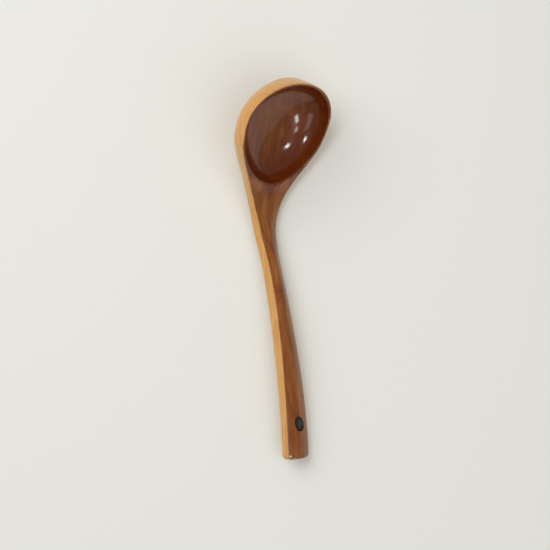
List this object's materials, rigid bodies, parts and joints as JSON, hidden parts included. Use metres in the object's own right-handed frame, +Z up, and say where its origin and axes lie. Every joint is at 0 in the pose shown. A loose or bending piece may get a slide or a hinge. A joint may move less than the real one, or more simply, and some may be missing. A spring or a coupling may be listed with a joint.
{
  "type": "wooden ladle",
  "caption": "Deep-bowled wooden ladle with a curved neck and a flat-sided handle, lying on its side; it scoops and serves food or drink.",
  "frame": {"origin": "on the surface the ladle lies on, under the centre of its bounding box", "axes": "+Z up from that surface; +Y along the ladle from the handle end to the bowl; +X to the side its hollow faces"},
  "size_m": [0.0724, 0.2784, 0.0697],
  "materials": {
    "lacquered_wood": "gloss lacquer: reddish-brown in the bowl and on the handle's top face, clear over pale golden wood on the sides and outside",
    "black_resin": "gloss black",
    "grey_resin": "gloss dark grey"
  },
  "bodies": {
    "root": {"ladle_body": "lacquered_wood", "seal_ring": "black_resin", "seal_disc": "grey_resin"}
  },
  "joints": []
}
